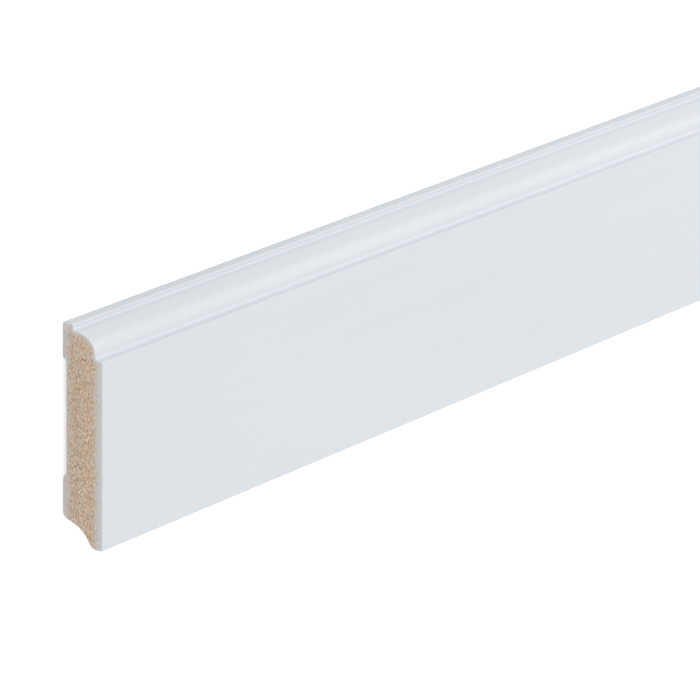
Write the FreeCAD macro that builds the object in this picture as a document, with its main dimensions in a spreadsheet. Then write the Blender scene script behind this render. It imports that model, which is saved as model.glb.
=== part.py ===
import FreeCAD, Part
import math
import os

import Sketcher

# A length of moulded skirting board, pressed from one board of fibre and finished in white.
# It lies on its back: X runs along the length, Y towards the moulded top edge and Z from the
# wall side to the face. The origin is under the middle, on the plane that the back lies on.

doc = FreeCAD.newDocument("SkirtingBoard")

# Millimetres, and degrees where the name ends in angle
SIZES = {
    "board_length": 2400,
    "board_height": 80,
    "board_thickness": 18,
    # the step down from the flat on top, which takes what the moulding leaves of the thickness
    "top_back_radius": 0.5,
    "top_front_radius": 0.7,
    "step_depth": 2.15,
    "step_fillet": 0.95,
    # the rounded moulding: a shallow arc, a tighter one, and a short flat that still leans back
    "crown_radius": 13.1,
    "crown_angle": 20,
    "round_radius": 7,
    "lean_angle": 10,
    "lean_length": 1.1,
    "lean_fillet": 1.4,
    # the shoulder under the moulding and the edges of the face
    "shoulder_width": 1.9,
    "shoulder_angle": 4,
    "face_top_radius": 0.2,
    "face_foot_radius": 0.25,
    # the nose that stands on the floor, and the hollow behind it
    "nose_radius": 3.7,
    "nose_from_face": 2.8,
    "nose_rise_angle": 4.5,
    "hollow_radius": 12.3,
    "hollow_steep_angle": 60,
    "hollow_flat_angle": 16,
    "back_foot_radius": 2.4,
    # the shallow relief milled along the back, between the two lands that touch the wall
    "relief_depth": 1.6,
    "relief_foot_height": 21.9,
    "relief_foot_radius": 3.5,
    "relief_foot_angle": 40,
    "relief_foot_fillet": 1.2,
    "relief_top_drop": 12.6,
    "relief_flank_rise": 1.3,
}


def fill_sheet(values):
    sheet = doc.addObject("Spreadsheet::Sheet", "Sizes")
    for row, (alias, value) in enumerate(values.items(), start=1):
        sheet.set(f"A{row}", alias)
        sheet.set(f"B{row}", str(value))
        sheet.setAlias(f"B{row}", alias)
    doc.recompute()
    return sheet


def origin_plane(body, role):
    return next(feature for feature in body.Origin.OriginFeatures if feature.Role == role)


class Outline:
    """A closed run of lines and arcs in a sketch, drawn with the solid on its left."""

    def __init__(self, sketch):
        self.sketch = sketch
        self.ends = {}      # name: (geometry index, entry vertex, exit vertex)
        self.order = []
        self.joints = []    # how each piece meets the one before it

    def add(self, name, index, entry, leave, meets):
        self.ends[name] = (index, entry, leave)
        self.order.append(name)
        self.joints.append(meets)

    def line(self, name, start, finish, meets="Tangent"):
        index = self.sketch.addGeometry(Part.LineSegment(start, finish), False)
        self.add(name, index, 1, 2, meets)

    def arc(self, name, centre, start, finish, turn, meets="Tangent"):
        first, last = (start, finish) if turn == "left" else (finish, start)
        first_angle = math.atan2(first.y - centre.y, first.x - centre.x)
        last_angle = math.atan2(last.y - centre.y, last.x - centre.x)
        if last_angle <= first_angle:
            last_angle += 2 * math.pi
        circle = Part.Circle(centre, FreeCAD.Vector(0, 0, 1), start.distanceToPoint(centre))
        index = self.sketch.addGeometry(Part.ArcOfCircle(circle, first_angle, last_angle), False)
        entry, leave = (1, 2) if turn == "left" else (2, 1)
        self.add(name, index, entry, leave, meets)

    def close(self):
        for place, name in enumerate(self.order):
            before = self.ends[self.order[place - 1]]
            here = self.ends[name]
            self.sketch.addConstraint(
                Sketcher.Constraint(self.joints[place], before[0], before[2], here[0], here[1])
            )

    def index(self, name):
        return self.ends[name][0]

    def entry(self, name):
        return self.ends[name][:2]

    def leave(self, name):
        return self.ends[name][0], self.ends[name][2]

    def centre(self, name):
        return self.ends[name][0], 3

    def hold(self, kind, *where):
        self.sketch.addConstraint(Sketcher.Constraint(kind, *where))

    def drive(self, kind, where, name, expression, value):
        number = self.sketch.addConstraint(Sketcher.Constraint(kind, *where, value))
        self.sketch.renameConstraint(number, name)
        self.sketch.setExpression(f"Constraints.{name}", expression)


ORIGIN = (-1, 1)


def draw_section(sketch):
    """The board's cross-section: sketch x is Y, towards the top edge, and sketch y is Z."""
    s = dict(SIZES)
    top = s["board_height"] / 2
    bottom = -top
    face = s["board_thickness"]

    def at(up, out):
        return FreeCAD.Vector(up, out, 0)

    def off(centre, radius, up, out):
        return centre + at(up, out) * radius

    def sine(name):
        return math.sin(math.radians(s[name]))

    def cosine(name):
        return math.cos(math.radians(s[name]))

    # the step and the rounded moulding, set back from the face by the shoulder
    moulding_width = (
        s["crown_radius"] * sine("crown_angle")
        + s["round_radius"] * (cosine("lean_angle") - sine("crown_angle"))
        + s["lean_length"] * sine("lean_angle")
        + s["lean_fillet"] * (cosine("lean_angle") - sine("shoulder_angle"))
    )
    crown_top = top - s["step_depth"]
    crown_start = at(crown_top, face - s["shoulder_width"] - moulding_width)
    step_out = crown_start.y - s["step_fillet"]
    crown_centre = crown_start - at(s["crown_radius"], 0)
    crown_end = off(crown_centre, s["crown_radius"], cosine("crown_angle"), sine("crown_angle"))
    round_centre = off(crown_end, -s["round_radius"], cosine("crown_angle"), sine("crown_angle"))
    round_end = off(round_centre, s["round_radius"], sine("lean_angle"), cosine("lean_angle"))
    lean_end = off(round_end, s["lean_length"], -cosine("lean_angle"), sine("lean_angle"))

    # the shoulder, tangent to the fillet under the moulding and to the edge of the face
    fillet_centre = off(lean_end, s["lean_fillet"], sine("lean_angle"), cosine("lean_angle"))
    shoulder_start = off(
        fillet_centre, -s["lean_fillet"], cosine("shoulder_angle"), sine("shoulder_angle")
    )
    edge_out = face - s["face_top_radius"]
    shoulder_fall = sine("shoulder_angle") / cosine("shoulder_angle")
    edge_up = (
        shoulder_start.x
        - (edge_out - shoulder_start.y) * shoulder_fall
        - s["face_top_radius"] / cosine("shoulder_angle")
    )
    edge_centre = at(edge_up, edge_out)
    shoulder_end = off(
        edge_centre, s["face_top_radius"], cosine("shoulder_angle"), sine("shoulder_angle")
    )

    # the nose and the edge of the face above it
    nose_centre = at(bottom + s["nose_radius"], face - s["nose_from_face"])
    nose_start = off(
        nose_centre, s["nose_radius"], -cosine("nose_rise_angle"), sine("nose_rise_angle")
    )
    foot_out = face - s["face_foot_radius"]
    nose_rise = sine("nose_rise_angle") / cosine("nose_rise_angle")
    foot_up = (
        nose_start.x
        + (foot_out - nose_start.y) * nose_rise
        + s["face_foot_radius"] / cosine("nose_rise_angle")
    )
    foot_centre = at(foot_up, foot_out)
    foot_end = off(
        foot_centre, s["face_foot_radius"], -cosine("nose_rise_angle"), sine("nose_rise_angle")
    )

    # the hollow behind the nose, up to the rounded foot of the lower land
    steep_up, steep_out = cosine("hollow_steep_angle"), sine("hollow_steep_angle")
    flat_up, flat_out = cosine("hollow_flat_angle"), sine("hollow_flat_angle")
    nose_end = off(nose_centre, -s["nose_radius"], steep_up, steep_out)
    hollow_centre = off(nose_end, -s["hollow_radius"], steep_up, steep_out)
    hollow_end = off(hollow_centre, s["hollow_radius"], flat_up, flat_out)
    land_foot_out = s["back_foot_radius"] * (1 - flat_out)
    land_foot_up = hollow_end.x + (hollow_end.y - land_foot_out) * flat_out / flat_up
    land_foot = at(land_foot_up, land_foot_out)
    land_centre = off(land_foot, s["back_foot_radius"], flat_up, flat_out)

    # the relief along the back
    relief_foot = at(bottom + s["relief_foot_height"], 0)
    relief_centre = relief_foot + at(0, s["relief_foot_radius"])
    slope_up, slope_out = cosine("relief_foot_angle"), sine("relief_foot_angle")
    slope_start = off(relief_centre, s["relief_foot_radius"], slope_out, -slope_up)
    floor_centre_out = s["relief_depth"] - s["relief_foot_fillet"]
    slope_end_out = floor_centre_out + s["relief_foot_fillet"] * slope_up
    slope_end_up = slope_start.x + (slope_end_out - slope_start.y) * slope_up / slope_out
    slope_end = at(slope_end_up, slope_end_out)
    floor_centre = at(slope_end_up + s["relief_foot_fillet"] * slope_out, floor_centre_out)
    floor_start = at(floor_centre.x, s["relief_depth"])
    relief_top = at(top - s["relief_top_drop"], 0)
    floor_end = at(relief_top.x - s["relief_flank_rise"], s["relief_depth"])

    back_centre = at(top - s["top_back_radius"], s["top_back_radius"])
    nosing_centre = at(top - s["top_front_radius"], step_out - s["top_front_radius"])
    step_centre = at(crown_top + s["step_fillet"], crown_start.y)

    run = Outline(sketch)
    run.line("upper_land", relief_top, at(back_centre.x, 0), "Coincident")
    run.arc("back_edge", back_centre, at(back_centre.x, 0), at(top, back_centre.y), "left")
    run.line("top_land", at(top, back_centre.y), at(top, nosing_centre.y))
    run.arc("nosing", nosing_centre, at(top, nosing_centre.y), at(nosing_centre.x, step_out), "left")
    run.line("step", at(nosing_centre.x, step_out), at(step_centre.x, step_out))
    run.arc("step_corner", step_centre, at(step_centre.x, step_out), crown_start, "right")
    run.arc("crown", crown_centre, crown_start, crown_end, "left")
    run.arc("round", round_centre, crown_end, round_end, "left")
    run.line("lean", round_end, lean_end)
    run.arc("lean_corner", fillet_centre, lean_end, shoulder_start, "right")
    run.line("shoulder", shoulder_start, shoulder_end)
    run.arc("face_top", edge_centre, shoulder_end, at(edge_centre.x, face), "left")
    run.line("face", at(edge_centre.x, face), at(foot_centre.x, face))
    run.arc("face_foot", foot_centre, at(foot_centre.x, face), foot_end, "left")
    run.line("underside", foot_end, nose_start)
    run.arc("nose", nose_centre, nose_start, nose_end, "left")
    run.arc("hollow", hollow_centre, nose_end, hollow_end, "right")
    run.line("hollow_run", hollow_end, land_foot)
    run.arc("land_corner", land_centre, land_foot, at(land_centre.x, 0), "left")
    run.line("lower_land", at(land_centre.x, 0), relief_foot)
    run.arc("relief_foot", relief_centre, relief_foot, slope_start, "left")
    run.line("relief_slope", slope_start, slope_end)
    run.arc("relief_corner", floor_centre, slope_end, floor_start, "right")
    run.line("relief_floor", floor_start, floor_end)
    run.line("relief_flank", floor_end, relief_top, "Coincident")
    run.close()

    # directions
    for name in ("upper_land", "step", "face", "lower_land", "relief_floor"):
        run.hold("Horizontal", run.index(name))
    run.hold("Vertical", run.index("top_land"))
    run.hold("Horizontal", *run.entry("crown"), *run.centre("crown"))
    run.hold("PointOnObject", *run.leave("upper_land"), -1)
    run.hold("PointOnObject", *run.leave("lower_land"), -1)

    def angle(name, expression, value):
        run.drive("Angle", (run.index(name),), f"{name}_angle", expression, math.radians(value))

    angle("crown", "Sizes.crown_angle", s["crown_angle"])
    angle("lean", "180 - Sizes.lean_angle", 180 - s["lean_angle"])
    angle("shoulder", "90 + Sizes.shoulder_angle", 90 + s["shoulder_angle"])
    angle("underside", "-90 - Sizes.nose_rise_angle", -90 - s["nose_rise_angle"])
    angle("hollow_run", "Sizes.hollow_flat_angle - 90", s["hollow_flat_angle"] - 90)
    angle("relief_slope", "Sizes.relief_foot_angle", s["relief_foot_angle"])
    angle(
        "hollow", "Sizes.hollow_steep_angle - Sizes.hollow_flat_angle",
        s["hollow_steep_angle"] - s["hollow_flat_angle"]
    )

    # radii
    radii = {
        "back_edge": "top_back_radius",
        "nosing": "top_front_radius",
        "step_corner": "step_fillet",
        "crown": "crown_radius",
        "round": "round_radius",
        "lean_corner": "lean_fillet",
        "face_top": "face_top_radius",
        "face_foot": "face_foot_radius",
        "nose": "nose_radius",
        "hollow": "hollow_radius",
        "land_corner": "back_foot_radius",
        "relief_foot": "relief_foot_radius",
        "relief_corner": "relief_foot_fillet",
    }
    for name, alias in radii.items():
        run.drive("Radius", (run.index(name),), f"{name}_radius", f"Sizes.{alias}", s[alias])

    run.drive(
        "Distance", (*run.entry("lean"), *run.leave("lean")),
        "lean_run", "Sizes.lean_length", s["lean_length"]
    )

    # heights, along sketch x
    half = "Sizes.board_height / 2"
    run.drive("DistanceX", (*ORIGIN, *run.leave("top_land")), "top_height", half, top)
    run.drive(
        "DistanceX", (*run.entry("crown"), *run.leave("top_land")),
        "step_drop", "Sizes.step_depth", s["step_depth"]
    )
    run.drive(
        "DistanceX", (*run.centre("nose"), *ORIGIN),
        "nose_height", f"{half} - Sizes.nose_radius", -nose_centre.x
    )
    run.drive(
        "DistanceX", (*run.leave("lower_land"), *ORIGIN),
        "relief_foot_place", f"{half} - Sizes.relief_foot_height", -relief_foot.x
    )
    run.drive(
        "DistanceX", (*run.entry("upper_land"), *run.leave("top_land")),
        "relief_top_place", "Sizes.relief_top_drop", s["relief_top_drop"]
    )
    run.drive(
        "DistanceX", (*run.entry("relief_flank"), *run.leave("relief_flank")),
        "flank_rise", "Sizes.relief_flank_rise", s["relief_flank_rise"]
    )

    # depths, along sketch y: two from the back, then two from the face
    for name, alias in {"face": "board_thickness", "relief_floor": "relief_depth"}.items():
        run.drive("DistanceY", (*ORIGIN, *run.leave(name)), f"{name}_depth", f"Sizes.{alias}", s[alias])
    run.drive(
        "DistanceY", (*run.entry("shoulder"), *run.leave("face")),
        "shoulder_run", "Sizes.shoulder_width", s["shoulder_width"]
    )
    run.drive(
        "DistanceY", (*run.centre("nose"), *run.leave("face")),
        "nose_depth", "Sizes.nose_from_face", s["nose_from_face"]
    )


def make_board():
    body = doc.addObject("PartDesign::Body", "SkirtingBoard")
    body.Label = "skirting_board"

    section = body.newObject("Sketcher::SketchObject", "Section")
    section.AttachmentSupport = [(origin_plane(body, "YZ_Plane"), "")]
    section.MapMode = "FlatFace"
    draw_section(section)
    doc.recompute()

    length = body.newObject("PartDesign::Pad", "Length")
    length.Profile = section
    length.SideType = "Symmetric"
    length.setExpression("Length", "Sizes.board_length")
    return body


def check(bodies):
    doc.recompute()
    for item in doc.Objects:
        if "Invalid" in item.State or "Error" in item.State:
            raise RuntimeError(f"{item.Label} did not build: {item.State}")
    for body in bodies:
        if body.Shape.isNull() or not body.Shape.isValid():
            raise RuntimeError(f"{body.Label} has no valid shape")


def export(bodies):
    os.makedirs("parts", exist_ok=True)
    for body in bodies:
        body.Shape.exportStep(f"parts/{body.Label}.step")
        box = body.Shape.BoundBox
        print(
            f"{body.Label}: {body.Shape.Volume / 1000:.1f} cm3,"
            f" {box.XLength:.2f} x {box.YLength:.2f} x {box.ZLength:.2f} mm"
        )


fill_sheet(SIZES)
pieces = [make_board()]
check(pieces)
export(pieces)
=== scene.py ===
import math

import bmesh
import bpy
from mathutils import Matrix, Vector, kdtree, noise
from mathutils.geometry import delaunay_2d_cdt


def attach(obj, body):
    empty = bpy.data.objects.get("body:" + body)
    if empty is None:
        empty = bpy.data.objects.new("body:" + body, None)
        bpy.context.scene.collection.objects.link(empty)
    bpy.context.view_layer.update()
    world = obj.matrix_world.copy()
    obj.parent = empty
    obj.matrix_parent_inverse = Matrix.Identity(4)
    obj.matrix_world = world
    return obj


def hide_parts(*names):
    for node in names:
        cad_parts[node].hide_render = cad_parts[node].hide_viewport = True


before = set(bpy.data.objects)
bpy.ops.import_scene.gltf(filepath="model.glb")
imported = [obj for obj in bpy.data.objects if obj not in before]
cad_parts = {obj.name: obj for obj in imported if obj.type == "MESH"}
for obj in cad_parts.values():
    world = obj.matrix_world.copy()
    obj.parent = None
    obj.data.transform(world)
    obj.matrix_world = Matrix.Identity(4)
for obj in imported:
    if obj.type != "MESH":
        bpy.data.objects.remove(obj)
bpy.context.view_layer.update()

mm = 0.001


# The section of the board, in mm and degrees. The board lies on its back: y runs up to the moulded edge
# and z out to the face.

boardShape = {
    "length": 2400.0,
    "height": 80.0,
    "thickness": 18.0,
    "topBackRadius": 0.5,      # the top edge is flat from here to the step
    "topFrontRadius": 0.7,
    "stepDepth": 2.15,
    "stepFillet": 0.95,
    "crownRadius": 13.1,       # the moulding: a slow curve, then a tight one, then a short lean
    "crownAngle": 20.0,
    "roundRadius": 7.0,
    "footLean": 10.0,
    "footLength": 1.1,
    "footFillet": 1.4,
    "shoulderWidth": 1.9,
    "shoulderAngle": 4.0,
    "faceTopRadius": 0.2,
    "faceFootRadius": 0.25,
    "noseRadius": 3.7,
    "noseFromFace": 2.8,
    "noseRise": 4.5,
    "hollowRadius": 12.3,      # the hollow behind the nose
    "hollowSteep": 60.0,
    "hollowFlat": 16.0,
    "backFootRadius": 2.4,
    "reliefDepth": 1.6,        # milled out of the back, between its two lands
    "reliefFoot": 21.9,
    "reliefFootRadius": 3.5,
    "reliefFootAngle": 40.0,
    "reliefFillet": 1.2,
    "reliefDrop": 12.6,
    "reliefFlank": 1.3,
    "brokenEdge": 0.12,        # where the cutter leaves a plain corner
    "curveStep": 0.12,         # longest straight piece of a curve
    "curveParts": 3,           # and the fewest pieces in one
    "flatStep": 0.5,           # longest piece of a flat
    "samePoint": 0.01,         # two points this near are one
    "lengthParts": 8,          # an even number, as the map's two strips meet in the middle
}


def onward(point, degrees, distance):
    turn = math.radians(degrees)
    return Vector((point.x + math.cos(turn) * distance, point.y + math.sin(turn) * distance))


def crossing(pointA, degreesA, pointB, degreesB):
    # where a line through one point, in its direction, meets a line through another
    a = Vector((math.cos(math.radians(degreesA)), math.sin(math.radians(degreesA))))
    b = Vector((math.cos(math.radians(degreesB)), math.sin(math.radians(degreesB))))
    gap = pointB - pointA
    return pointA + a * ((gap.x * b.y - gap.y * b.x) / (a.x * b.y - a.y * b.x))


def tangentLength(radius, degrees):
    # from the corner that a radius rounds to where its curve starts
    return radius * math.tan(math.radians(degrees / 2))


def sectionCorners(s):
    # each corner of the section, the radius that rounds it, and the skin of the run that follows
    top = s["height"] / 2
    face = s["thickness"]

    # the moulding from its crown down, first as if it started at the back, then set against the face
    crownTop = top - s["stepDepth"]
    crownReach = tangentLength(s["crownRadius"], s["crownAngle"])
    crown = onward(Vector((crownTop, 0)), 90, crownReach)
    crownEnd = onward(crown, 90 + s["crownAngle"], crownReach)
    lean = 180 - s["footLean"]
    roundReach = tangentLength(s["roundRadius"], lean - 90 - s["crownAngle"])
    roundOver = onward(crownEnd, 90 + s["crownAngle"], roundReach)
    footReach = tangentLength(s["footFillet"], lean - 90 - s["shoulderAngle"])
    foot = onward(roundOver, lean, roundReach + s["footLength"] + footReach)
    shoulder = onward(foot, 90 + s["shoulderAngle"], footReach)
    setBack = Vector((0, face - s["shoulderWidth"] - shoulder.y))
    crown, roundOver, foot = crown + setBack, roundOver + setBack, foot + setBack
    stepOut = setBack.y - s["stepFillet"]
    faceTop = crossing(foot, 90 + s["shoulderAngle"], Vector((0, face)), 0)

    # the nose, then the hollow that runs back from it to the lower land
    noseCentre = Vector((s["noseRadius"] - top, face - s["noseFromFace"]))
    noseStart = onward(noseCentre, 180 - s["noseRise"], s["noseRadius"])
    noseEnd = onward(noseCentre, 180 + s["hollowSteep"], s["noseRadius"])
    noseFall = -90 - s["noseRise"]
    hollowFall = -90 + s["hollowSteep"]
    hollowReach = tangentLength(s["hollowRadius"], s["hollowSteep"] - s["hollowFlat"])
    faceFoot = crossing(noseStart, noseFall, Vector((0, face)), 0)
    nose = crossing(noseStart, noseFall, noseEnd, hollowFall)
    hollow = onward(noseEnd, hollowFall, hollowReach)
    backFoot = crossing(hollow, -90 + s["hollowFlat"], Vector((0, 0)), 0)

    # the relief in the back, from the lower land to the upper one
    reliefStart = Vector((s["reliefFoot"] - top, 0))
    reliefFoot = onward(reliefStart, 0, tangentLength(s["reliefFootRadius"], s["reliefFootAngle"]))
    reliefCorner = crossing(reliefFoot, s["reliefFootAngle"], Vector((0, s["reliefDepth"])), 0)
    landFoot = Vector((top - s["reliefDrop"], 0))
    reliefTop = Vector((landFoot.x - s["reliefFlank"], s["reliefDepth"]))

    return [
        (landFoot, s["brokenEdge"], "bare"),
        (Vector((top, 0)), s["topBackRadius"], "white"),
        (Vector((top, stepOut)), s["topFrontRadius"], "white"),
        (Vector((crownTop, stepOut)), s["stepFillet"], "white"),
        (crown, s["crownRadius"], "white"),
        (roundOver, s["roundRadius"], "white"),
        (foot, s["footFillet"], "white"),
        (faceTop, s["faceTopRadius"], "white"),
        (faceFoot, s["faceFootRadius"], "white"),
        (nose, s["noseRadius"], "bare"),
        (hollow, s["hollowRadius"], "bare"),
        (backFoot, s["backFootRadius"], "bare"),
        (reliefFoot, s["reliefFootRadius"], "bare"),
        (reliefCorner, s["reliefFillet"], "bare"),
        (reliefTop, s["brokenEdge"], "bare"),
    ]


def roundedSection(corners, s):
    # the outline as points, each with its outward direction, the skin that follows it, and how deep
    # the finish can pool there in a hollow corner, a depth that also sets the painted highlight there
    outline = []
    for place, (corner, radius, skin) in enumerate(corners):
        before = corners[place - 1][0]
        after = corners[(place + 1) % len(corners)][0]
        arrive = (corner - before).normalized()
        leave = (after - corner).normalized()
        turn = math.atan2(arrive.x * leave.y - arrive.y * leave.x, arrive.dot(leave))
        bulge = 1 if turn > 0 else -1
        start = corner - arrive * radius * math.tan(abs(turn) / 2)
        centre = start + Vector((-arrive.y, arrive.x)) * radius * bulge
        pool = radius * (1 / math.cos(turn / 2) - 1) if bulge < 0 else 0.0

        if outline:
            addFlat(outline, start, s["flatStep"])
        steps = max(s["curveParts"], math.ceil(radius * abs(turn) / s["curveStep"]))
        for step in range(steps + 1):
            arm = Matrix.Rotation(turn * step / steps, 2) @ (start - centre)
            point = {"at": centre + arm, "out": arm.normalized() * bulge, "skin": skin}
            point["pool"] = pool * math.sin(math.pi * step / steps)
            if outline and (point["at"] - outline[-1]["at"]).length < s["samePoint"]:
                outline.pop()
            outline.append(point)
    addFlat(outline, outline[0]["at"], s["flatStep"])
    return outline


def addFlat(outline, end, longest):
    # even points from the last one to the start of the next curve
    last = outline[-1]
    parts = math.ceil((end - last["at"]).length / longest)
    for part in range(1, parts):
        spot = last["at"].lerp(end, part / parts)
        outline.append({"at": spot, "out": last["out"], "skin": last["skin"], "pool": 0.0})


# The sawn ends, in mm: a fine skin of points with torn fibres sunk into it, and round it the cut edge
# of the white finish

sawnEnd = {
    "finishDepth": 0.30,       # the white finish where it is cut through, on the face
    "mouldedDepth": 0.50,      # the same on the moulding and the top edge
    "cornerFill": 0.9,         # share of a hollow corner's rounding that is finish, over a sharper cut
    "coveHighlightDepth": 0.25,          # a hollow corner this deep gets the full painted highlight
    "finishGap": 0.04,         # least distance between points along the finish line
    "topBand": 0.02,           # points this near the top are on its flat edge, which gets painted shade
    "pointGap": 0.27,
    "pointStray": 0.5,         # how far a loose point strays, as a share of that gap
    "clearOfEdge": 0.11,       # no loose point nearer to a line than this
    "tearDepth": 0.13,         # how deep torn fibres sink
    "fibreLong": 1.0,          # a fibre bundle on the cut, along the height and through the thickness
    "fibreThick": 0.42,
    "strandFine": (2.3, 1.9),  # strands to a bundle, in those two ways
    "evenPull": 0.42,          # share of the depth that is torn anyway
    "bundlePull": 0.55,        # and the shares that bundles and strands add or spare
    "strandPull": 0.4,
    "edgeFirm": 0.5,           # within this of the edge the cut is cleaner
    "chipDepth": 0.035,        # small chips in the edge itself
    "chipFine": 1.7,           # chips to a mm
    "soakDepth": 1.7,          # primer soaked into the board behind the finish
    "shavedBand": 0.4,         # the long sides lose their chips over this length
    "seed": 11,                # of the loose points
}


def edgeFinder(outline):
    tree = kdtree.KDTree(len(outline))
    for place, point in enumerate(outline):
        tree.insert((point["at"].x, point["at"].y, 0), place)
    tree.balance()

    def find(spot):
        # how far inside the section a spot lies, and the outline point it is next to
        _, place, _ = tree.find((spot.x, spot.y, 0))
        point = outline[place]
        return (point["at"] - spot).dot(point["out"]), point

    return find


def coatOutline(outline, look):
    # how thick the white finish is at each point: more where it pooled in a hollow corner
    for point in outline:
        turned = max(0.0, point["out"].x)
        depth = look["finishDepth"] + (look["mouldedDepth"] - look["finishDepth"]) * turned
        point["coat"] = depth + look["cornerFill"] * point["pool"]
        if point["skin"] != "white":
            point["coat"] = 0.0


def finishLine(outline, look):
    # where the white finish ends and the fibreboard starts, on the cut
    line = []
    for place, point in enumerate(outline):
        white = (outline[place - 1]["skin"] == "white") + (point["skin"] == "white")
        spot = point["at"] - point["out"] * (point["coat"] if white == 2 else 0.0)
        if white and (not line or (spot - line[-1]).length > look["finishGap"]):
            line.append(spot)
    return line


def cutFace(outline, shape, look):
    # points and triangles that fill the section, the outline's own points first
    find = edgeFinder(outline)
    inner = finishLine(outline, look)
    noise.seed_set(look["seed"])
    gap = look["pointGap"]
    stray = look["pointStray"]
    clear = look["clearOfEdge"]
    loose = []
    for column in range(1, int(shape["thickness"] / gap) + 1):
        for row in range(int(shape["height"] / gap) + 1):
            shift = 0.5 * (column % 2)
            y = (row + shift + stray * (noise.random() - 0.5)) * gap - shape["height"] / 2
            z = (column + stray * (noise.random() - 0.5)) * gap
            spot = Vector((y, z))
            inside, edge = find(spot)
            nearLine = edge["skin"] == "white" and abs(inside - edge["coat"]) < clear
            if inside > clear and not nearLine:
                loose.append(spot)

    ring = [point["at"] for point in outline]
    count = len(ring)
    edges = [(count + i, count + i + 1) for i in range(len(inner) - 1)]
    insideOnly = 1
    tolerance = 1e-4
    filled = delaunay_2d_cdt(ring + inner + loose, edges, [list(range(count))], insideOnly, tolerance)
    spots, _, triangles, _, _, _ = filled
    return [Vector(spot) for spot in spots], triangles, find


def tear(spot, inside, end, look):
    # depth of the torn fibres at a spot of a sawn end; each layer has its own place in the noise, apart
    # for the two ends
    y, z = spot.x / look["fibreLong"], spot.y / look["fibreThick"]
    fineY, fineZ = look["strandFine"]
    bundles = noise.noise(Vector((y, z, end * 7.3)))
    strands = noise.noise(Vector((y * fineY, z * fineZ, 3.1 + end * 5.7)))
    pull = look["evenPull"] + look["bundlePull"] * bundles + look["strandPull"] * strands
    pull = min(1.0, max(0.0, pull))
    firm = min(1.0, max(0.0, inside / look["edgeFirm"]))
    fine = look["chipFine"]
    chips = max(0.0, noise.noise(Vector((spot.x * fine, spot.y * fine, 9.4 + end)))) * look["chipDepth"]
    return chips + pull * look["tearDepth"] * firm


print("section and sawn ends described")


# The board's own texture map, 1 by 1: the long sides in a strip for each half of the length, and the
# two sawn ends side by side over them

boardMap = {
    "strips": ((0.005, 0.005), (0.005, 0.445)),  # left and low of each strip
    "stripSize": (0.99, 0.43),                   # along the length and round the section
    "ends": ((0.005, 0.885), (0.51, 0.885)),     # left and low of the near end and of the far one
    "endSize": 0.485,                            # the board's height over the map
}


def startBoard():
    bm = bmesh.new()
    layers = {
        "map": bm.loops.layers.uv.new("OFBake"),
        "soaked": bm.verts.layers.float.new("soaked"),
        # painted shade on the top edge, and a painted highlight in the hollow corners
        "topEdgeShade": bm.verts.layers.float.new("topEdgeShade"),
        "coveHighlight": bm.verts.layers.float.new("coveHighlight"),
    }
    return bm, layers


def addRing(bm, layers, outline, x, shape, look):
    # the outline once round at a place along the board, chipped where that is a sawn end
    way = math.copysign(1, x)
    sawn = abs(x) == shape["length"] / 2
    ring = []
    for point in outline:
        y, z = point["at"]
        chip = tear(point["at"], 0.0, way, look) if sawn else 0.0
        vert = bm.verts.new(((x - way * chip) * mm, y * mm, z * mm))
        # the top edge takes painted shade, and each hollow corner a painted highlight as deep as the
        # corner
        onTop = abs(y - shape["height"] / 2) < look["topBand"] and point["skin"] == "white"
        vert[layers["topEdgeShade"]] = float(onTop)
        vert[layers["coveHighlight"]] = min(1.0, point["pool"] / look["coveHighlightDepth"])
        ring.append(vert)
    return ring


def addLongSides(bm, layers, outline, rings, slots, shape):
    # the milled sides from ring to ring, and the way that they face at each corner
    count = len(outline)
    travelled = [0.0]
    for place in range(count):
        step = (outline[(place + 1) % count]["at"] - outline[place]["at"]).length
        travelled.append(travelled[-1] + step)
    wide, high = boardMap["stripSize"]
    strips = len(boardMap["strips"])
    normals = []
    for part, (ringA, ringB) in enumerate(zip(rings, rings[1:])):
        strip = part * strips // (len(rings) - 1)
        left, low = boardMap["strips"][strip]
        for place in range(count):
            after = (place + 1) % count
            face = bm.faces.new((ringA[place], ringA[after], ringB[after], ringB[place]))
            face.material_index = slots.index(outline[place]["skin"])
            face.smooth = True
            for loop, which in zip(face.loops, (place, place + 1, place + 1, place)):
                along = (loop.vert.co.x / (shape["length"] * mm) + 0.5) * strips - strip
                up = low + high * travelled[which] / travelled[-1]
                loop[layers["map"]].uv = (left + wide * along, up)
                out = outline[which % count]["out"]
                normals.append((0.0, out.x, out.y))
    return normals


def addSawnEnd(bm, layers, cut, ring, end, slots, shape, look):
    # the torn cut at one end, -1 or 1, inside its ring, with the finish round it
    spots, triangles, find = cut
    count = len(ring)
    half = shape["length"] / 2
    left, low = boardMap["ends"][end > 0]
    size = boardMap["endSize"]
    verts = {}

    def vertAt(i):
        if i < count:
            return ring[i]
        if i not in verts:
            spot = spots[i]
            deep, near = find(spot)
            x = half - tear(spot, deep, end, look)
            verts[i] = bm.verts.new((end * x * mm, spot.x * mm, spot.y * mm))
            if near["skin"] == "white":
                behind = max(0.0, deep - near["coat"])
                verts[i][layers["soaked"]] = max(0.0, 1 - behind / look["soakDepth"])
        return verts[i]

    normals = []
    for triangle in triangles:
        middle = sum((spots[i] for i in triangle), Vector((0, 0))) / 3
        inside, edge = find(middle)
        corners = [vertAt(i) for i in triangle]
        if end < 0:
            corners.reverse()
        face = bm.faces.new(corners)
        face.material_index = slots.index("white" if inside < edge["coat"] else "cut")
        face.smooth = True
        for loop in face.loops:
            across = loop.vert.co.y / (shape["height"] * mm) + 0.5
            up = loop.vert.co.z / (shape["height"] * mm)
            loop[layers["map"]].uv = (left + size * across, low + size * up)
            normals.append((0.0, 0.0, 0.0))    # left to follow the faces
    for place in range(count):
        bm.edges.get((ring[place], ring[(place + 1) % count])).smooth = False
    return normals


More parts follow.
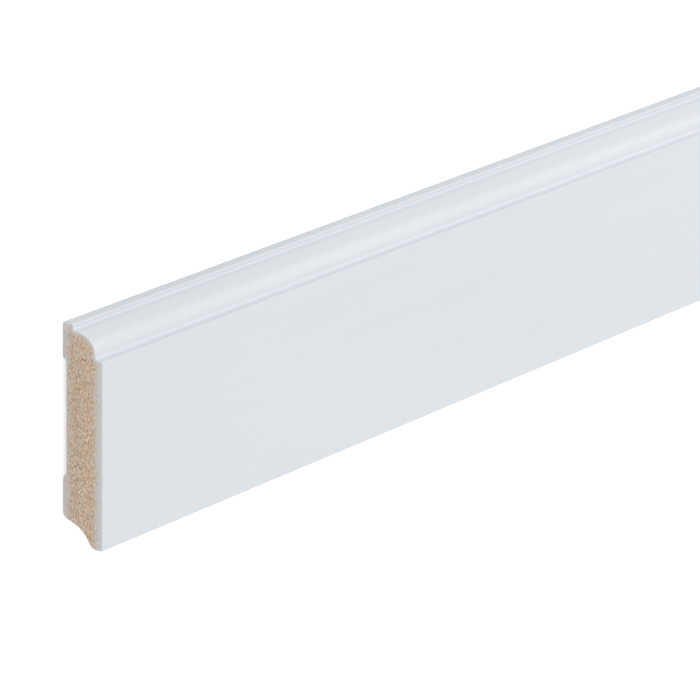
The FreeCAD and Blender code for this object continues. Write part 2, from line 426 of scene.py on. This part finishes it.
def buildBoard(shape, look, materials):
    outline = roundedSection(sectionCorners(shape), shape)
    coatOutline(outline, look)
    cut = cutFace(outline, shape, look)
    slots = list(materials)

    bm, layers = startBoard()
    half = shape["length"] / 2
    inner = half - look["shavedBand"]
    parts = shape["lengthParts"]
    stops = [-half] + [-inner + 2 * inner * i / parts for i in range(parts + 1)] + [half]
    rings = [addRing(bm, layers, outline, x, shape, look) for x in stops]
    normals = addLongSides(bm, layers, outline, rings, slots, shape)
    for end, ring in ((-1, rings[0]), (1, rings[-1])):
        normals += addSawnEnd(bm, layers, cut, ring, end, slots, shape, look)

    mesh = bpy.data.meshes.new("skirtingBoard")
    bm.to_mesh(mesh)
    bm.free()
    mesh.normals_split_custom_set(normals)
    for material in materials.values():
        mesh.materials.append(material)
    board = bpy.data.objects.new("skirtingBoard", mesh)
    bpy.context.scene.collection.objects.link(board)
    return board


# Small helpers for the materials

def addNode(tree, kind, settings, wires=None):
    # a shader node with its settings and its inputs wired by name
    node = tree.nodes.new("ShaderNode" + kind)
    for name, value in settings.items():
        if name in node.inputs:
            node.inputs[name].default_value = value
        else:
            setattr(node, name, value)
    for name, source in (wires or {}).items():
        tree.links.new(source, node.inputs[name])
    return node


def startMaterial(name):
    material = bpy.data.materials.new(name)
    material.use_nodes = True
    tree = material.node_tree
    return material, tree, tree.nodes["Principled BSDF"]


def stretched(tree, long, high, thick):
    # the board's own coordinates, with one unit to each of these lengths in mm
    place = addNode(tree, "TexCoord", {}).outputs["Object"]
    scale = (1000 / long, 1000 / high, 1000 / thick)
    return addNode(tree, "Mapping", {"Scale": scale}, {"Vector": place}).outputs["Vector"]


def mottled(tree, place, detail, roughness=0.5):
    # soft noise, about one patch to a unit
    settings = {"Scale": 1.0, "Detail": detail, "Roughness": roughness}
    return addNode(tree, "TexNoise", settings, {"Vector": place}).outputs["Fac"]


def blendColours(tree, factor, first, second):
    # sockets or plain colours, mixed by a factor socket
    node = addNode(tree, "Mix", {"data_type": "RGBA"})
    tree.links.new(factor, node.inputs[0])
    for slot, colour in ((6, first), (7, second)):
        if isinstance(colour, tuple):
            node.inputs[slot].default_value = colour + (1,)
        else:
            tree.links.new(colour, node.inputs[slot])
    return node.outputs[2]


def ranged(tree, value, span, result=(0.0, 1.0)):
    # a value carried from one range to another, and kept within it
    settings = {"From Min": span[0], "From Max": span[1], "To Min": result[0], "To Max": result[1]}
    return addNode(tree, "MapRange", settings, {"Value": value}).outputs["Result"]


def combined(tree, operation, first, second):
    # one step of arithmetic, on sockets or plain floats
    node = addNode(tree, "Math", {"operation": operation})
    for place, value in enumerate((first, second)):
        if isinstance(value, float):
            node.inputs[place].default_value = value
        else:
            tree.links.new(value, node.inputs[place])
    return node.outputs["Value"]


def bumped(tree, height, distance, below=None):
    # surface relief of so many mm, over the relief that lies below it
    wires = {"Height": height}
    if below:
        wires["Normal"] = below
    return addNode(tree, "Bump", {"Distance": distance * mm}, wires).outputs["Normal"]


# The white finish, sizes in mm

whiteLacquer = {
    "colour": (0.775, 0.815, 0.848),
    "thinColour": (0.750, 0.792, 0.828),    # where the coat is a little thinner
    "topShadeColour": (0.665, 0.705, 0.738),    # painted shade: a darker white on the top edge
    "coveHighlightColour": (0.803, 0.838, 0.882),  # painted highlight: a paler, bluer white in the hollow corners
    "roughness": (0.34, 0.44),
    "lightBend": 1.48,                      # index of refraction
    "cloud": 45.0,                          # size of its soft unevenness
    "cloudSpan": (0.35, 0.65),
    "cloudShare": 0.6,
    "streakLong": 400.0,                    # faint lines that the coating rollers leave
    "streakFine": 1.6,
    "streakSpan": (0.3, 0.7),
    "streakShare": 0.4,
    "grainSize": 0.45,
    "grainHeight": 0.004,
    "waveSize": 9.0,
    "waveHeight": 0.006,
}


def makeWhiteLacquer(look):
    material, tree, shader = startMaterial("whiteLacquer")
    cloud = stretched(tree, look["cloud"] * 3, look["cloud"], look["cloud"])
    clouds = ranged(tree, mottled(tree, cloud, 3.0), look["cloudSpan"], (0.0, look["cloudShare"]))
    line = stretched(tree, look["streakLong"], look["streakFine"], look["streakFine"])
    streaks = ranged(tree, mottled(tree, line, 2.0), look["streakSpan"], (0.0, look["streakShare"]))
    uneven = combined(tree, "ADD", clouds, streaks)
    colour = blendColours(tree, uneven, look["colour"], look["thinColour"])
    # paint a paler highlight into the hollow corners and a darker shade onto the top edge
    for place, paintedLight in (("coveHighlight", "coveHighlightColour"), ("topEdgeShade", "topShadeColour")):
        there = addNode(tree, "Attribute", {"attribute_name": place}).outputs["Fac"]
        colour = blendColours(tree, there, colour, look[paintedLight])
    tree.links.new(colour, shader.inputs["Base Color"])
    tree.links.new(ranged(tree, uneven, (0.0, 1.0), look["roughness"]), shader.inputs["Roughness"])

    speck = stretched(tree, look["grainSize"], look["grainSize"], look["grainSize"])
    swell = stretched(tree, look["waveSize"] * 2, look["waveSize"], look["waveSize"])
    fine = bumped(tree, mottled(tree, speck, 2.0), look["grainHeight"])
    broad = bumped(tree, mottled(tree, swell, 1.0), look["waveHeight"], fine)
    tree.links.new(broad, shader.inputs["Normal"])
    shader.inputs["IOR"].default_value = look["lightBend"]
    return material


# The bare board, sizes in mm

fibreboard = {
    "tones": (                              # from the darkest fibres to the palest
        (0.30, (0.33, 0.225, 0.145)),
        (0.44, (0.60, 0.455, 0.33)),
        (0.55, (0.76, 0.60, 0.46)),
        (0.70, (0.97, 0.83, 0.70)),
    ),
    "toneRoughness": 0.62,
    "patch": 4.0,
    "patchFlat": 0.7,                       # patches are flatter through the thickness
    "orange": (0.80, 0.55, 0.36),           # warmer patches, a few mm across
    "orangeSpan": (0.52, 0.72),
    "orangeMost": 0.35,
    "ash": (0.645, 0.625, 0.51),            # greyer ones
    "ashSpan": (0.47, 0.28),
    "ashMost": 0.5,
    "bitSize": (1.5, 1.5, 1.3),             # short bits, this many fibres long, high and thick
    "bitSpan": (0.42, 0.22),
    "fleck": (0.93, 0.86, 0.77),
    "fleckPick": (0.74, 0.80),              # which bits are pale flecks
    "fleckMost": 0.75,
    "speck": (0.20, 0.14, 0.09),            # bark and glue
    "speckPick": (0.90, 0.94),              # and which are dark specks
    "speckMost": 0.55,
    "dense": (0.735, 0.75, 0.735),          # the hard, greyer skin of the panel, near both its faces
    "denseFront": 2.15,
    "denseBack": 1.8,
    "denseFade": 2.4,
    "denseOver": 0.3,                       # share of the fade that lies within the skin
    "denseWaver": 2.5,
    "denseCover": (0.98, 0.62),             # how far it covers the fibres, least on the lumps
    "mottle": 1.5,                          # lumps that show through the dense skin
    "mottleFlat": 0.6,
    "mottleSpan": (0.35, 0.65),
    "soaked": (0.73, 0.765, 0.83),          # primer behind the white finish
    "soakedMost": 0.62,
    "roughness": 0.86,
    "denseSmooth": 0.12,                    # the dense skin is this much smoother
    "shine": 0.3,
}

milledSurface = {
    "fibre": (1.2, 1.1, 0.55),              # along the length, the height and the thickness
    "grainHeight": 0.03,
    "ripple": 1.4,                          # even marks of the moulder's knives across the length
    "rippleWide": 400.0,
    "rippleWander": 0.3,
    "rippleHeight": 0.012,
}

sawnSurface = {
    "fibre": (0.7, 1.1, 0.52),
    "grainHeight": 0.06,
}


def fibreTones(tree, threads, look):
    ramp = addNode(tree, "ValToRGB", {}, {"Fac": threads})
    stops = ramp.color_ramp.elements
    first, *between, last = look["tones"]
    for stop, (position, colour) in ((stops[0], first), (stops[1], last)):
        stop.position = position
        stop.color = colour + (1,)
    for position, colour in between:
        stops.new(position).color = colour + (1,)
    return ramp.outputs["Color"]


def addBits(tree, colour, fibre, look):
    # short pale flecks and dark specks, each a thread's width
    bits = stretched(tree, *(size * share for size, share in zip(fibre, look["bitSize"])))
    cells = addNode(tree, "TexVoronoi", {"Scale": 1.0, "Randomness": 1.0}, {"Vector": bits})
    pick = addNode(tree, "SeparateColor", {}, {"Color": cells.outputs["Color"]})
    core = ranged(tree, cells.outputs["Distance"], look["bitSpan"])
    for bit, channel in (("fleck", "Red"), ("speck", "Green")):
        picked = ranged(tree, pick.outputs[channel], look[bit + "Pick"], (0.0, look[bit + "Most"]))
        colour = blendColours(tree, combined(tree, "MULTIPLY", core, picked), colour, look[bit])
    return colour


def denseSkin(tree, patches, look):
    # how far the panel is pressed hard, towards each of its faces, with a wavering limit
    board = addNode(tree, "TexCoord", {}).outputs["Object"]
    depth = addNode(tree, "SeparateXYZ", {}, {"Vector": board}).outputs["Z"]
    uneven = combined(tree, "SUBTRACT", patches, 0.5)
    waver = combined(tree, "MULTIPLY", uneven, look["denseWaver"] * mm)
    level = combined(tree, "ADD", depth, waver)
    front = (boardShape["thickness"] - look["denseFront"]) * mm
    back = look["denseBack"] * mm
    fade = look["denseFade"] * mm
    over = fade * look["denseOver"]
    nearFront = ranged(tree, level, (front - fade, front + over))
    nearBack = ranged(tree, level, (back + fade, back - over))
    return combined(tree, "MAXIMUM", nearFront, nearBack)


def makeFibreboard(name, look, surface):
    material, tree, shader = startMaterial(name)
    threads = mottled(tree, stretched(tree, *surface["fibre"]), 4.0, look["toneRoughness"])
    colour = fibreTones(tree, threads, look)

    patch = look["patch"]
    patches = mottled(tree, stretched(tree, patch, patch, patch * look["patchFlat"]), 2.0)
    warm = ranged(tree, patches, look["orangeSpan"], (0.0, look["orangeMost"]))
    grey = ranged(tree, patches, look["ashSpan"], (0.0, look["ashMost"]))
    colour = blendColours(tree, warm, colour, look["orange"])
    colour = blendColours(tree, grey, colour, look["ash"])
    colour = addBits(tree, colour, surface["fibre"], look)

    hard = denseSkin(tree, patches, look)
    mottle = look["mottle"]
    lumps = mottled(tree, stretched(tree, mottle, mottle, mottle * look["mottleFlat"]), 2.0)
    lumpy = ranged(tree, lumps, look["mottleSpan"], look["denseCover"])
    cover = combined(tree, "MULTIPLY", hard, lumpy)
    colour = blendColours(tree, cover, colour, look["dense"])
    soaked = addNode(tree, "Attribute", {"attribute_name": "soaked"}).outputs["Fac"]
    primer = combined(tree, "MULTIPLY", soaked, look["soakedMost"])
    tree.links.new(blendColours(tree, primer, colour, look["soaked"]), shader.inputs["Base Color"])

    smooth = combined(tree, "MULTIPLY", hard, look["denseSmooth"])
    tree.links.new(combined(tree, "SUBTRACT", look["roughness"], smooth), shader.inputs["Roughness"])
    shader.inputs["Specular IOR Level"].default_value = look["shine"]

    normal = bumped(tree, threads, surface["grainHeight"])
    if "ripple" in surface:
        wide = surface["rippleWide"]
        knives = stretched(tree, surface["ripple"], wide, wide)
        # at this scale there is one wave to a unit
        settings = {"bands_direction": "X", "Scale": 0.314, "Distortion": surface["rippleWander"]}
        wave = addNode(tree, "TexWave", settings, {"Vector": knives})
        normal = bumped(tree, wave.outputs["Fac"], surface["rippleHeight"], normal)
    tree.links.new(normal, shader.inputs["Normal"])
    return material


materials = {
    "white": makeWhiteLacquer(whiteLacquer),
    "bare": makeFibreboard("milledFibreboard", fibreboard, milledSurface),
    "cut": makeFibreboard("sawnFibreboard", fibreboard, sawnSurface),
}
print("materials made")

board = buildBoard(boardShape, sawnEnd, materials)
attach(board, "root")
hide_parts("skirting_board")
print("board built,", len(board.data.vertices), "points")


# The studio, in metres and watts: a pale floor, white surroundings, a soft lamp beyond the moulded edge
# and a weaker one overhead

studio = {
    "floorSize": 12.0,
    "floorDrop": 0.0002,           # just under the board
    "floorColour": 0.80,
    "floorGlow": 0.6,              # only what the camera and reflections see
    "floorRoughness": 0.9,
    "floorShine": 0.2,
    "surround": 0.765,             # even light from all round
    "backdrop": 1.0,               # white, for the camera and reflections
    "lampsFrom": (-1.15, 0.0, 0.0),
    "keyWay": (0.737, 0.40, 0.546),
    "keyFar": 2.5,
    "keySize": 1.6,
    "keyPower": 12.6,
    "fillWay": (0.0, -0.2, 0.98),
    "fillFar": 2.5,
    "fillSize": 2.0,
    "fillPower": 5.6,
    "cameraPlace": (-2.49846, 0.64912, 1.15996),
    "cameraAim": (-1.06533, -0.00189, 0.018),
    "cameraRoll": 1.0467,          # degrees, from upright along the board's height
    "cameraReach": 60.0,           # it sees no further
    "lens": 278.03,                # mm, as the sensor
    "sensor": 36.0,
}


def seenDirectly(tree):
    # 1 for camera, mirror and glass rays
    path = addNode(tree, "LightPath", {})
    mirror = path.outputs["Is Glossy Ray"]
    glass = path.outputs["Is Transmission Ray"]
    either = combined(tree, "MAXIMUM", mirror, glass)
    return combined(tree, "MAXIMUM", path.outputs["Is Camera Ray"], either)


def makeFloor(look):
    half = look["floorSize"] / 2
    low = -look["floorDrop"]
    corners = [(-half, -half, low), (half, -half, low), (half, half, low), (-half, half, low)]
    mesh = bpy.data.meshes.new("floor")
    mesh.from_pydata(corners, [], [(0, 1, 2, 3)])
    material, tree, shader = startMaterial("paleFloor")
    shader.inputs["Base Color"].default_value = (look["floorColour"],) * 3 + (1,)
    shader.inputs["Roughness"].default_value = look["floorRoughness"]
    shader.inputs["Specular IOR Level"].default_value = look["floorShine"]
    shader.inputs["Emission Color"].default_value = (1, 1, 1, 1)
    glow = combined(tree, "MULTIPLY", seenDirectly(tree), look["floorGlow"])
    tree.links.new(glow, shader.inputs["Emission Strength"])
    mesh.materials.append(material)
    floor = bpy.data.objects.new("floor", mesh)
    bpy.context.scene.collection.objects.link(floor)


def makeSurroundings(look):
    world = bpy.data.worlds.new("studio")
    world.use_nodes = True
    tree = world.node_tree
    strength = ranged(tree, seenDirectly(tree), (0.0, 1.0), (look["surround"], look["backdrop"]))
    background = tree.nodes["Background"]
    background.inputs["Color"].default_value = (1, 1, 1, 1)
    tree.links.new(strength, background.inputs["Strength"])
    bpy.context.scene.world = world


def makeLamp(look, name):
    way = Vector(look[name + "Way"]).normalized()
    light = bpy.data.lights.new(name + "Lamp", "AREA")
    light.shape = "SQUARE"
    light.size = look[name + "Size"]
    light.energy = look[name + "Power"]
    lamp = bpy.data.objects.new(name + "Lamp", light)
    lamp.location = Vector(look["lampsFrom"]) + way * look[name + "Far"]
    lamp.rotation_euler = (-way).to_track_quat("-Z", "Y").to_euler()
    bpy.context.scene.collection.objects.link(lamp)


def makeCamera(look):
    place = Vector(look["cameraPlace"])
    forward = (Vector(look["cameraAim"]) - place).normalized()
    right = forward.cross(Vector((0, 1, 0))).normalized()
    upward = right.cross(forward)
    roll = Matrix.Rotation(math.radians(look["cameraRoll"]), 3, "Z")
    turn = Matrix((right, upward, -forward)).transposed() @ roll
    lens = bpy.data.cameras.new("camera")
    lens.lens = look["lens"]
    lens.sensor_width = look["sensor"]
    lens.clip_end = look["cameraReach"]
    camera = bpy.data.objects.new("camera", lens)
    camera.matrix_world = Matrix.Translation(place) @ turn.to_4x4()
    bpy.context.scene.collection.objects.link(camera)
    bpy.context.scene.camera = camera


makeFloor(studio)
makeSurroundings(studio)
makeLamp(studio, "key")
makeLamp(studio, "fill")
makeCamera(studio)
bpy.context.scene.view_settings.view_transform = "Standard"
print("studio ready")
